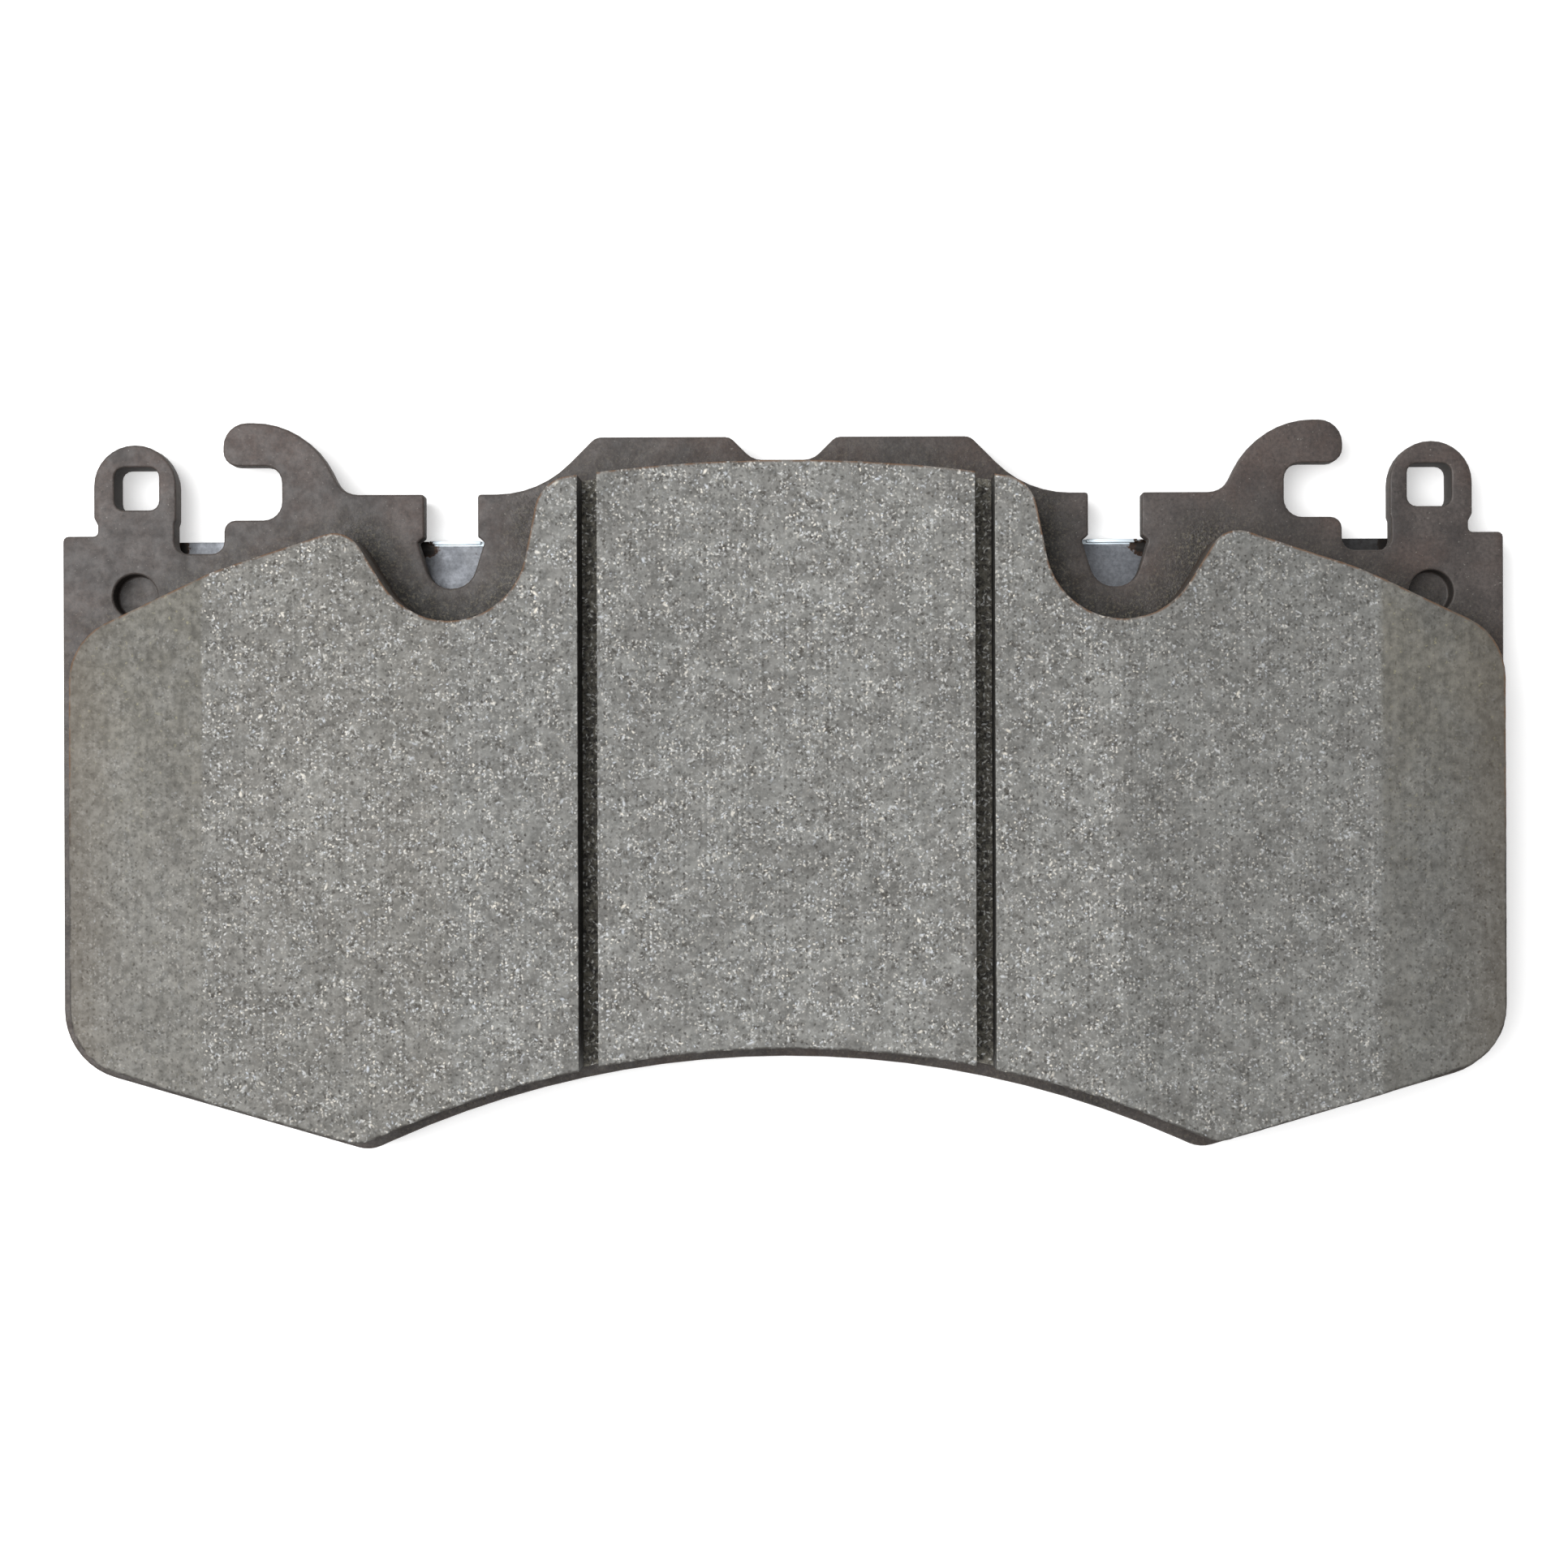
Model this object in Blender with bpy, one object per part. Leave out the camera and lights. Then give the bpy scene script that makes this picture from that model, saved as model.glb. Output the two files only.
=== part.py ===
"""Disc brake pad for a six-piston fixed caliper, lying on its back with the friction face up.

X runs along the pad's length, Y from the lower tips to the hooks, Z from the shim to the disc.
The origin is the middle of the bounding box in X and Y, and the underside of the shim in Z.
From the back to the front the pad is: shim (outer sheet, rubber, inner sheet, adhesive film),
steel backing plate, bond layer, underlayer, and the friction material in three blocks.
"""

import math

import bmesh
import bpy

MM = 0.001  # every size below is in millimetres, and meshes are made in metres

# Arcs are split so that no chord strays further than this from its arc.
CHORD_ERROR = 0.03

# Layers, from the shim's underside upwards. Bonded layers keep a gap of LAYER_GAP.
LAYER_GAP = 0.04
OUTER_SHEET_THICKNESS = 0.40
RUBBER_THICKNESS = 0.10
INNER_SHEET_THICKNESS = 0.24
FILM_THICKNESS = 0.10
PLATE_THICKNESS = 6.00
BOND_THICKNESS = 0.12
UNDERLAYER_THICKNESS = 1.60
BLOCK_THICKNESS = 9.00

# Backing plate: heights are measured from the lower tips.
HALF_LENGTH = 97.15
SHOULDER_Y = 82.6
RAIL_Y = 88.1  # the flat top edge that the pin notches are cut into
CROWN_Y = 95.75  # the raised middle of the top edge
CROWN_HALF_WIDTH = 25.25
CENTRE_NOTCH_Y = 92.65
CENTRE_NOTCH_HALF_WIDTH = 4.05
FOOT_ARC_RADIUS = 130.0
FOOT_ARC_Y = 12.2  # top of the concave lower edge, at mid-length
FOOT_ARC_END_X = 53.0  # where the arc runs out into a straight line to the tip
END_SLOPE = math.tan(math.radians(16.2))
END_SLOPE_Y = 11.56  # height of the lower slope, produced to the end of the plate
END_CORNER_RADIUS = 9.5
TIP_RADIUS = 4.5

# Pin notches, one each side, with a wider rounded pocket below.
PIN_X = 44.78
PIN_SLOT_WIDTH = 7.24
PIN_SLOT_END_Y = 82.35
PIN_POCKET_TOP_Y = 81.65
PIN_POCKET_TOP_WIDTH = 9.0
PIN_POCKET_BOTTOM_WIDTH = 5.1
PIN_POCKET_BOTTOM_Y = 75.4
PIN_POCKET_RADIUS = 3.3

# Hooks, one each side, open towards the ends.
HOOK_FOOT_X = 59.4
HOOK_CREST_X = 64.2
HOOK_TOP_Y = 97.85
HOOK_TIP_X = 75.5
HOOK_UNDERSIDE_Y = 92.0
HOOK_INNER_X = 67.6
HOOK_BACK_RADIUS = 11.6
LEDGE_Y = 84.7

# The gap between hook and ear.
GAP_INNER_X = 75.4
GAP_OUTER_X = 82.1
GAP_FLOOR_Y = 80.2

# Ears, one each side, with a square hole.
EAR_X = 87.42
EAR_WIDTH = 11.1
EAR_TOP_Y = 94.9
EAR_NECK_Y = 84.6
EAR_NECK_OUTER_X = 92.45
EAR_HOLE_X = 87.2
EAR_HOLE_Y = 89.0
EAR_HOLE_WIDTH = 6.0
EAR_HOLE_HEIGHT = 5.8
EAR_HOLE_RADIUS = 1.3

# Half-sheared pegs: blind on the front, standing out of the back to hold the shim.
PEG_X = 87.4
PEG_Y = 74.5
PEG_RECESS_RADIUS = 3.0
PEG_RECESS_DEPTH = 3.5
PEG_RADIUS = 2.9
PEG_HEIGHT = 0.9
PEG_SEGMENTS = 40

# Lining: it sits slightly to one side of the plate's middle.
LINING_SHIFT_X = 0.5
LINING_HALF_LENGTH = 95.9
LINING_CROWN_RADIUS = 200.0
LINING_CROWN_Y = 91.6
LINING_SHOULDER_X = 32.4
VALLEY_Y = 70.5
VALLEY_RADIUS = 10.3
VALLEY_INNER_X = 36.1
VALLEY_OUTER_X = 50.2
PEAK_X = 57.9
PEAK_Y = 82.9
PEAK_RADIUS = 4.0
LINING_KNEE_X = 75.0
LINING_KNEE_Y = 77.3
LINING_END_Y = 68.3
LINING_END_RADIUS = 8.5
LINING_FOOT_INSET = 1.7  # the lining's lower edge stands this far inside the plate's arc
LINING_SLOPE_INSET = 1.4
LINING_TIP_RADIUS = 5.0
BOND_INSET = 0.25
SLOT_X = 26.25
SLOT_WIDTH = 2.5

# Chamfers that lead the disc onto the ends of the lining. The left one is ground a little longer.
CHAMFER_SHIFT_X = 1.25
CHAMFER_START_X = 77.65
CHAMFER_ANGLE = math.radians(17.0)

# Shim.
SHIM_HALF_LENGTH = 95.6
SHIM_TOP_Y = 82.2
SHIM_CROWN_Y = 91.6
SHIM_CROWN_HALF_WIDTH = 24.5
SHIM_INSET = 1.5
SHIM_CORNER_RADIUS = 3.0
SHIM_PEG_HOLE_RADIUS = 3.3
RUBBER_INSET = 0.4
FILM_INSET = 1.0
FILM_TOP_Y = 70.4  # the film stops below the pin pockets and the pegs
LIP_WIDTH = 6.9
LIP_THICKNESS = 0.45
LIP_HEIGHT = 1.2

STEEL = {"colour": (0.068, 0.060, 0.058, 1.0), "metallic": 0.0, "roughness": 0.62}
ZINC = {"colour": (0.30, 0.33, 0.36, 1.0), "metallic": 0.9, "roughness": 0.42}
RUBBER = {"colour": (0.02, 0.02, 0.02, 1.0), "metallic": 0.0, "roughness": 0.80}
ADHESIVE = {"colour": (0.32, 0.14, 0.05, 1.0), "metallic": 0.0, "roughness": 0.60}
BASE_MIX = {"colour": (0.10, 0.09, 0.08, 1.0), "metallic": 0.1, "roughness": 0.90}
FRICTION = {"colour": (0.21, 0.21, 0.19, 1.0), "metallic": 0.2, "roughness": 0.85}


def clear_scene():
    """Remove every object from the scene."""
    for old in list(bpy.data.objects):
        bpy.data.objects.remove(old, do_unlink=True)


def arc_steps(radius, angle):
    """How many chords an arc needs."""
    widest = 2.0 * math.acos(1.0 - CHORD_ERROR / max(radius, 4.0 * CHORD_ERROR))
    return max(2, math.ceil(angle / widest))


def rounded(corners):
    """A closed outline through (x, y, radius) corners, with each corner as an arc."""
    points = []
    for i, (x, y, radius) in enumerate(corners):
        before = corners[i - 1]
        after = corners[(i + 1) % len(corners)]
        back = (before[0] - x, before[1] - y)
        ahead = (after[0] - x, after[1] - y)
        back_length = math.hypot(*back)
        ahead_length = math.hypot(*ahead)
        back = (back[0] / back_length, back[1] / back_length)
        ahead = (ahead[0] / ahead_length, ahead[1] / ahead_length)
        turn = math.pi - math.acos(max(-1.0, min(1.0, back[0] * ahead[0] + back[1] * ahead[1])))
        middle = (back[0] + ahead[0], back[1] + ahead[1])
        reach = radius / math.cos(turn / 2.0) / math.hypot(*middle)
        centre = (x + middle[0] * reach, y + middle[1] * reach)
        tangent = radius * math.tan(turn / 2.0)
        start = (x + back[0] * tangent, y + back[1] * tangent)
        angle = math.atan2(start[1] - centre[1], start[0] - centre[0])
        side = 1.0 if back[0] * ahead[1] - back[1] * ahead[0] < 0.0 else -1.0
        steps = arc_steps(radius, turn)
        for k in range(steps + 1):
            at = angle + side * turn * k / steps
            points.append((centre[0] + radius * math.cos(at), centre[1] + radius * math.sin(at)))
    return points


def both_sides(top, right, bottom):
    """Corners of a symmetric outline from those at x = 0 and those of its right half."""
    left = [(-x, y, radius) for x, y, radius in reversed(right)]
    return top + right + bottom + left


def circle(x, y, radius):
    """A round outline."""
    turns = [2.0 * math.pi * k / PEG_SEGMENTS for k in range(PEG_SEGMENTS)]
    return [(x + radius * math.cos(a), y + radius * math.sin(a)) for a in turns]


def moved(outline, dx, dy):
    """The same outline, moved."""
    return [(x + dx, y + dy) for x, y in outline]


def foot_corners(inset, slope_inset, half_length, end_radius, tip_radius):
    """The lower end corner, the tip and the corner at x = 0 whose fillet is the foot arc."""
    radius = FOOT_ARC_RADIUS + inset
    lean = math.asin((FOOT_ARC_END_X - inset) / radius)
    arc_end_y = FOOT_ARC_Y - FOOT_ARC_RADIUS + radius * math.cos(lean)
    apex_y = arc_end_y + math.tan(lean) * (FOOT_ARC_END_X - inset)
    raised = slope_inset * math.hypot(1.0, END_SLOPE)
    slope_y = END_SLOPE_Y + raised - END_SLOPE * (HALF_LENGTH - half_length)
    tip_x = (apex_y - slope_y + END_SLOPE * half_length) / (math.tan(lean) + END_SLOPE)
    tip_y = apex_y - math.tan(lean) * tip_x
    return [(half_length, slope_y, end_radius), (tip_x, tip_y, tip_radius)], [(0.0, apex_y, radius)]


def pin_notch_corners():
    """One pin notch, from its inner wall round the pocket to its outer wall."""
    slot, top, bottom = PIN_SLOT_WIDTH / 2.0, PIN_POCKET_TOP_WIDTH / 2.0, PIN_POCKET_BOTTOM_WIDTH / 2.0
    half = [
        (slot, RAIL_Y, 0.4),
        (slot, PIN_SLOT_END_Y, 0.25),
        (top, PIN_POCKET_TOP_Y, 0.3),
        (bottom, PIN_POCKET_BOTTOM_Y, PIN_POCKET_RADIUS),
    ]
    inner = [(PIN_X - x, y, radius) for x, y, radius in half]
    outer = [(PIN_X + x, y, radius) for x, y, radius in reversed(half)]
    return inner + outer


def hook_corners():
    """One hook, from its foot over its back to the ledge beneath it."""
    return [
        (HOOK_FOOT_X, RAIL_Y, 3.4),
        (HOOK_CREST_X, HOOK_TOP_Y, HOOK_BACK_RADIUS),
        (HOOK_TIP_X, HOOK_TOP_Y, 3.2),
        (HOOK_TIP_X, HOOK_UNDERSIDE_Y, 2.0),
        (HOOK_INNER_X, HOOK_UNDERSIDE_Y, 2.2),
        (HOOK_INNER_X, LEDGE_Y, 2.5),
        (GAP_INNER_X, LEDGE_Y, 1.5),
        (GAP_INNER_X, GAP_FLOOR_Y, 1.7),
        (GAP_OUTER_X, GAP_FLOOR_Y, 1.7),
    ]


def ear_corners():
    """One ear, from its inner neck over its round top to the plate's end."""
    half = EAR_WIDTH / 2.0
    round_top = half - 0.02
    return [
        (GAP_OUTER_X, EAR_NECK_Y - 0.3, 0.3),
        (EAR_X - half, EAR_NECK_Y + 0.3, 0.3),
        (EAR_X - half, EAR_TOP_Y, round_top),
        (EAR_X + half, EAR_TOP_Y, round_top),
        (EAR_X + half, EAR_NECK_Y + 0.5, 0.5),
        (EAR_NECK_OUTER_X, EAR_NECK_Y - 0.5, 0.5),
        (EAR_NECK_OUTER_X, SHOULDER_Y, 0.6),
        (HALF_LENGTH, SHOULDER_Y, 0.7),
    ]


def plate_outline():
    """The backing plate's outer edge."""
    crown_foot_x = CROWN_HALF_WIDTH + CROWN_Y - RAIL_Y
    notch_top_x = CENTRE_NOTCH_HALF_WIDTH + CROWN_Y - CENTRE_NOTCH_Y
    right = [
        (CENTRE_NOTCH_HALF_WIDTH, CENTRE_NOTCH_Y, 3.0),
        (notch_top_x, CROWN_Y, 1.5),
        (CROWN_HALF_WIDTH, CROWN_Y, 1.8),
        (crown_foot_x, RAIL_Y, 14.0),
    ]
    right += pin_notch_corners() + hook_corners() + ear_corners()
    foot, middle = foot_corners(0.0, 0.0, HALF_LENGTH, END_CORNER_RADIUS, TIP_RADIUS)
    return rounded(both_sides([], right + foot, middle))


def ear_hole(side):
    """The rounded square hole through one ear."""
    half_width, half_height = EAR_HOLE_WIDTH / 2.0, EAR_HOLE_HEIGHT / 2.0
    signs = [(1, 1), (1, -1), (-1, -1), (-1, 1)]
    corners = [
        (side * EAR_HOLE_X + sx * half_width, EAR_HOLE_Y + sy * half_height, EAR_HOLE_RADIUS)
        for sx, sy in signs
    ]
    return rounded(corners)


def lining_outline(inset=0.0):
    """The lining's outer edge, about its own middle; inset draws its sides in."""
    crown_lean = math.asin((LINING_SHOULDER_X - 3.0) / LINING_CROWN_RADIUS)
    crown_apex_y = LINING_CROWN_Y + LINING_CROWN_RADIUS * (1.0 / math.cos(crown_lean) - 1.0)
    shoulder_y = crown_apex_y - math.tan(crown_lean) * LINING_SHOULDER_X
    half_length = LINING_HALF_LENGTH - inset
    right = [
        (LINING_SHOULDER_X - inset, shoulder_y - inset, 5.0),
        (VALLEY_INNER_X - inset, VALLEY_Y - inset, VALLEY_RADIUS),
        (VALLEY_OUTER_X + inset, VALLEY_Y - inset, VALLEY_RADIUS),
        (PEAK_X + inset, PEAK_Y - inset, PEAK_RADIUS),
        (LINING_KNEE_X, LINING_KNEE_Y - inset, 30.0),
        (half_length, LINING_END_Y - inset, LINING_END_RADIUS),
    ]
    foot, middle = foot_corners(
        LINING_FOOT_INSET + inset,
        LINING_SLOPE_INSET + inset,
        half_length,
        LINING_END_RADIUS,
        LINING_TIP_RADIUS,
    )
    crown = [(0.0, crown_apex_y - inset, LINING_CROWN_RADIUS)]
    return moved(rounded(both_sides(crown, right + foot, middle)), LINING_SHIFT_X, 0.0)


def shim_outline(inset=0.0, top_y=SHIM_TOP_Y):
    """The shim's outer edge: a straight top either side of a raised middle."""
    crown_x, crown_y = SHIM_CROWN_HALF_WIDTH - inset, SHIM_CROWN_Y - inset
    right = [
        (crown_x, crown_y, SHIM_CORNER_RADIUS),
        (crown_x + crown_y - top_y, top_y, SHIM_CORNER_RADIUS),
        (SHIM_HALF_LENGTH - inset, top_y, SHIM_CORNER_RADIUS),
    ]
    foot, middle = foot_corners(
        SHIM_INSET + inset, SHIM_INSET + inset, SHIM_HALF_LENGTH - inset, END_CORNER_RADIUS, TIP_RADIUS
    )
    return rounded(both_sides([], right + foot, middle))


def add_loop(bm, outline, z):
    """Put one closed outline into a mesh as edges."""
    verts = [bm.verts.new((x * MM, y * MM, z * MM)) for x, y in outline]
    return [bm.edges.new((verts[i - 1], vert)) for i, vert in enumerate(verts)]


def prism(bm, outline, bottom, top, holes=()):
    """Add an upright solid of one outline, with holes right through it."""
    edges = add_loop(bm, outline, bottom)
    for hole in holes:
        edges += add_loop(bm, hole, bottom)
    filled = bmesh.ops.triangle_fill(bm, use_beauty=True, use_dissolve=False, edges=edges)
    faces = [item for item in filled["geom"] if isinstance(item, bmesh.types.BMFace)]
    raised = bmesh.ops.extrude_face_region(bm, geom=faces)["geom"]
    verts = [item for item in raised if isinstance(item, bmesh.types.BMVert)]
    bmesh.ops.translate(bm, vec=(0.0, 0.0, (top - bottom) * MM), verts=verts)
    bmesh.ops.recalc_face_normals(bm, faces=bm.faces)


def cut_away(bm, point, normal):
    """Remove what lies on the normal's side of a plane, and close the cut."""
    everything = bm.verts[:] + bm.edges[:] + bm.faces[:]
    cut = bmesh.ops.bisect_plane(
        bm,
        geom=everything,
        dist=1e-9,
        plane_co=[value * MM for value in point],
        plane_no=normal,
        clear_outer=True,
    )
    edges = [item for item in cut["geom_cut"] if isinstance(item, bmesh.types.BMEdge)]
    bmesh.ops.edgeloop_fill(bm, edges=edges)
    bmesh.ops.recalc_face_normals(bm, faces=bm.faces)


def make_material(name, look):
    """A plain Principled material."""
    material = bpy.data.materials.new(name)
    material.use_nodes = True
    shader = material.node_tree.nodes["Principled BSDF"]
    shader.inputs["Base Color"].default_value = look["colour"]
    shader.inputs["Metallic"].default_value = look["metallic"]
    shader.inputs["Roughness"].default_value = look["roughness"]
    material.diffuse_color = look["colour"]
    return material


def add_object(name, bm, look):
    """Turn a mesh into a named object with its own material, on the pad's middle line."""
    bmesh.ops.dissolve_degenerate(bm, dist=1e-8, edges=bm.edges[:])
    mesh = bpy.data.meshes.new(name)
    bm.to_mesh(mesh)
    bm.free()
    mesh.shade_smooth()
    mesh.set_sharp_from_angle(angle=math.radians(25.0))
    mesh.materials.append(make_material(name, look))
    made = bpy.data.objects.new(name, mesh)
    made.location = (0.0, -middle_y() * MM, 0.0)
    bpy.context.scene.collection.objects.link(made)
    return made


def middle_y():
    """Half-way up the backing plate's outline."""
    heights = [y for _, y in plate_outline()]
    return (min(heights) + max(heights)) / 2.0


def cut_with(target, cutter, operation):
    """Give an object an exact Boolean with a hidden guide."""
    cutter.hide_render = True
    cutter.display_type = "WIRE"
    boolean = target.modifiers.new(cutter.name, "BOOLEAN")
    boolean.operation = operation
    boolean.solver = "EXACT"
    boolean.object = cutter


def guide(name, outline, bottom, top):
    """A hidden upright solid that a Boolean adds or takes away."""
    bm = bmesh.new()
    prism(bm, outline, bottom, top)
    return add_object(name, bm, STEEL)


def backing_plate(bottom):
    """The steel plate with its ears, hooks, notches and half-sheared pegs."""
    top = bottom + PLATE_THICKNESS
    bm = bmesh.new()
    prism(bm, plate_outline(), bottom, top, holes=[ear_hole(1), ear_hole(-1)])
    plate = add_object("backing_plate", bm, STEEL)
    for side, word in ((-1, "left"), (1, "right")):
        recess = circle(side * PEG_X, PEG_Y, PEG_RECESS_RADIUS)
        cut_with(plate, guide(f"recess_{word}", recess, top - PEG_RECESS_DEPTH, top + 1.0), "DIFFERENCE")
        peg = circle(side * PEG_X, PEG_Y, PEG_RADIUS)
        cut_with(plate, guide(f"peg_{word}", peg, bottom - PEG_HEIGHT, bottom + 1.0), "UNION")


def friction_block(name, bottom, cuts):
    """One block of friction material: the lining's shape less what the planes cut away."""
    bm = bmesh.new()
    prism(bm, lining_outline(), bottom, bottom + BLOCK_THICKNESS)
    for point, normal in cuts:
        cut_away(bm, point, normal)
    add_object(name, bm, FRICTION)


def friction_blocks(bottom):
    """Three blocks, parted by two slots, with a chamfer at each end."""
    top = bottom + BLOCK_THICKNESS
    slot_half = SLOT_WIDTH / 2.0
    for side, word in ((-1, "left"), (1, "right")):
        slot_edge = (LINING_SHIFT_X + side * (SLOT_X + slot_half), 0.0, top)
        ramp_edge = (CHAMFER_SHIFT_X + side * CHAMFER_START_X, 0.0, top)
        ramp_normal = (side * math.sin(CHAMFER_ANGLE), 0.0, math.cos(CHAMFER_ANGLE))
        cuts = [(slot_edge, (-side, 0.0, 0.0)), (ramp_edge, ramp_normal)]
        friction_block(f"friction_block_{word}", bottom, cuts)
    reach = SLOT_X - slot_half
    cuts = [((LINING_SHIFT_X + side * reach, 0.0, top), (side, 0.0, 0.0)) for side in (-1, 1)]
    friction_block("friction_block_centre", bottom, cuts)


def layer(name, outline, bottom, thickness, look, holes=()):
    """A flat layer of the pad."""
    bm = bmesh.new()
    prism(bm, outline, bottom, bottom + thickness, holes)
    return add_object(name, bm, look)


def peg_holes():
    """The shim's two holes over the pegs."""
    return [circle(side * PEG_X, PEG_Y, SHIM_PEG_HOLE_RADIUS) for side in (1, -1)]


def lip_outline(side):
    """The strip at the shim's top edge that is bent forward into one pin notch."""
    low, high = SHIM_TOP_Y - LIP_THICKNESS, SHIM_TOP_Y
    left, right = side * PIN_X - LIP_WIDTH / 2.0, side * PIN_X + LIP_WIDTH / 2.0
    return [(left, high), (right, high), (right, low), (left, low)]


def inner_sheet(bottom):
    """The shim's inner steel sheet, with a bent lip in each pin notch."""
    sheet = layer(
        "shim_inner_sheet", shim_outline(), bottom, INNER_SHEET_THICKNESS, ZINC, peg_holes()
    )
    for side, word in ((-1, "left"), (1, "right")):
        lip = guide(f"lip_{word}", lip_outline(side), bottom + 0.1, bottom + LIP_HEIGHT)
        cut_with(sheet, lip, "UNION")


def build():
    """Stack the pad up from the shim to the friction face."""
    clear_scene()
    z = 0.0
    layer("shim_outer_sheet", shim_outline(), z, OUTER_SHEET_THICKNESS, ZINC, peg_holes())
    z += OUTER_SHEET_THICKNESS + LAYER_GAP
    layer("shim_rubber_layer", shim_outline(RUBBER_INSET), z, RUBBER_THICKNESS, RUBBER, peg_holes())
    z += RUBBER_THICKNESS + LAYER_GAP
    inner_sheet(z)
    z += INNER_SHEET_THICKNESS + LAYER_GAP
    layer("shim_adhesive_film", shim_outline(FILM_INSET, FILM_TOP_Y), z, FILM_THICKNESS, ADHESIVE)
    z += FILM_THICKNESS + LAYER_GAP
    backing_plate(z)
    z += PLATE_THICKNESS + LAYER_GAP
    layer("lining_bond_layer", lining_outline(BOND_INSET), z, BOND_THICKNESS, ADHESIVE)
    z += BOND_THICKNESS + LAYER_GAP
    layer("lining_underlayer", lining_outline(), z, UNDERLAYER_THICKNESS, BASE_MIX)
    z += UNDERLAYER_THICKNESS + LAYER_GAP
    friction_blocks(z)


build()
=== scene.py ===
"""Looks of the disc brake pad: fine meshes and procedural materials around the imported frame.

The pad lies on its back with the friction face up, and the camera looks straight down on it.
Lengths in the code are millimetres unless a name says otherwise, and meshes are made in metres.
"""

import math

import bmesh
import bpy
import numpy as np
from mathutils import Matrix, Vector, geometry, noise


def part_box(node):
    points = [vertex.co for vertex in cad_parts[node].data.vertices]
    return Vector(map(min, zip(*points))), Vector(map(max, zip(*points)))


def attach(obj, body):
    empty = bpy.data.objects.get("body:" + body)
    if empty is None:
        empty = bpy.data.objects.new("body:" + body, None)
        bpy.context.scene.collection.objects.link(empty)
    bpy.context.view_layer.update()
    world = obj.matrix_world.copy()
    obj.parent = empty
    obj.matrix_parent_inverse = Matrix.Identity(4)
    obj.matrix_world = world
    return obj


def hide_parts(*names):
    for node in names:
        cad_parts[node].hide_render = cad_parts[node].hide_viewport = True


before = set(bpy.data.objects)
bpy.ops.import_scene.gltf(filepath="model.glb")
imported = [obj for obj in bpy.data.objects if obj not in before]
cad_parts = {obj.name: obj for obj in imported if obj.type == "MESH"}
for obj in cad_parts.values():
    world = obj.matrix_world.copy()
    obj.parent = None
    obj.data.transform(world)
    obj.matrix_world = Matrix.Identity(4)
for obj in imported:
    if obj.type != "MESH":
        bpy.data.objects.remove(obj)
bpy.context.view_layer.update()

MM = 0.001
SEED = 7

# The view: a long lens straight above the pad, a few millimetres off its middle.
LENS_MM = 80.0
SENSOR_MM = 36.0
CAMERA_ABOVE_PLATE = 470.0
CAMERA_OFFSET = (5.4, -3.2)
CAMERA_ROLL_DEGREES = -0.2

# How finely the visible surfaces are meshed.
PLATE_STEP = 1.3
FRICTION_STEP = 0.55
UNDERLAYER_STEP = 0.8
OUTLINE_STEP = 0.8
RECESS_STEP = 0.8
SHORTEST_EDGE = 0.06
SHEET_STEP = 4.0
RING_SHARES = (0.1, 0.35, 0.7, 1.0)
GRID_JITTER = 0.22
MERGE_DISTANCE = 1e-7  # metres
SHARP_DEGREES = 50.0

# Rounding of the edges.
PLATE_ROLL = 0.28  # die roll round the plate's front
PLATE_BURR = 0.08
RECESS_FILLET = 0.3
PEG_EDGE = 0.15
# Below the burnished band of its sheared edge the plate is broken off, and leans in.
FRACTURE_START = 3.9
FRACTURE_LEAN = 0.38
FRACTURE_REACH = 1.5
LEAN_SMOOTHING = 6  # so that small corners don't fold
FRICTION_EDGE = 0.16
PRESSED_EDGE = 0.05
SHEET_BEVEL = 0.03
SHEET_BEVEL_FROM_DEGREES = 35.0
SHEET_SHARP_DEGREES = 40.0

# Relief of the lining.
PITS_PER_BLOCK = 90
PIT_RADIUS = (0.5, 1.3)
PIT_DEPTH = (0.06, 0.16)
CHIP_DEPTH = 0.30
CHIP_REACH = 0.7
COARSE_RELIEF = 0.03
FINE_RELIEF = 0.02
SLOT_WIDTH = 2.5
SLOT_FADE = 0.3

# Where the looks change, from the pad's middle.
RAMP_LEFT_X = -76.4
RAMP_RIGHT_X = 78.9
POCKET_CORNER = (49.0, 32.3)
GAP_CORNER = (82.0, 32.6)
VALLEY_MIDDLE = (44.8, 27.0)
RECESS_MIDDLE = (87.4, 25.5)
EAR_HOLE_MIDDLE = (87.2, 40.0)
SHIM_HIGHLIGHT_Y = 32.66
SHIM_HIGHLIGHT_END_X = (52.0, 51.0)
RIGHT_GAP_X = (72.0, 74.0)
LEFT_TONE_X = (-43.0, -45.0)
RIGHT_TONE_X = (44.0, 46.0)
DARK_END_X = (86.0, 97.0)

# Flecks: the size of the cells that hold one each, their length and width, the share of cells
# that show one, and a shift that sets each kind apart.
BRIGHT_FLECKS = (
    (0.70, 0.27, 0.17, 0.9, 3.0),
    (0.58, 0.22, 0.16, 0.9, 17.0),
    (0.95, 0.38, 0.18, 0.8, 29.0),
    (2.80, 0.60, 0.26, 0.8, 41.0),
)
DARK_FLECKS = (
    (0.95, 0.40, 0.22, 0.9, 53.0),
    (0.70, 0.28, 0.18, 0.8, 67.0),
)
SLOT_CRUMBS = (
    (0.7, 0.34, 0.15, 1.0, 2.0),
    (0.9, 0.45, 0.17, 1.0, 19.0),
)

# Floor and lights, in metres and watts.
FLOOR_RADIUS = 1.5
FLOOR_CURVE = 1.2
FLOOR_BELOW_PAD = 0.00005
WORLD_STRENGTH = 0.35
FLOOR_GLOW = 0.35
LIGHTS = (
    ("key_light", (-0.48, 0.12, 0.96), 1.0, 14.2),
    ("top_light", (-0.10, -0.10, 1.40), 1.4, 4.2),
)


# Outlines, read from the frame -------------------------------------------------------------


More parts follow.
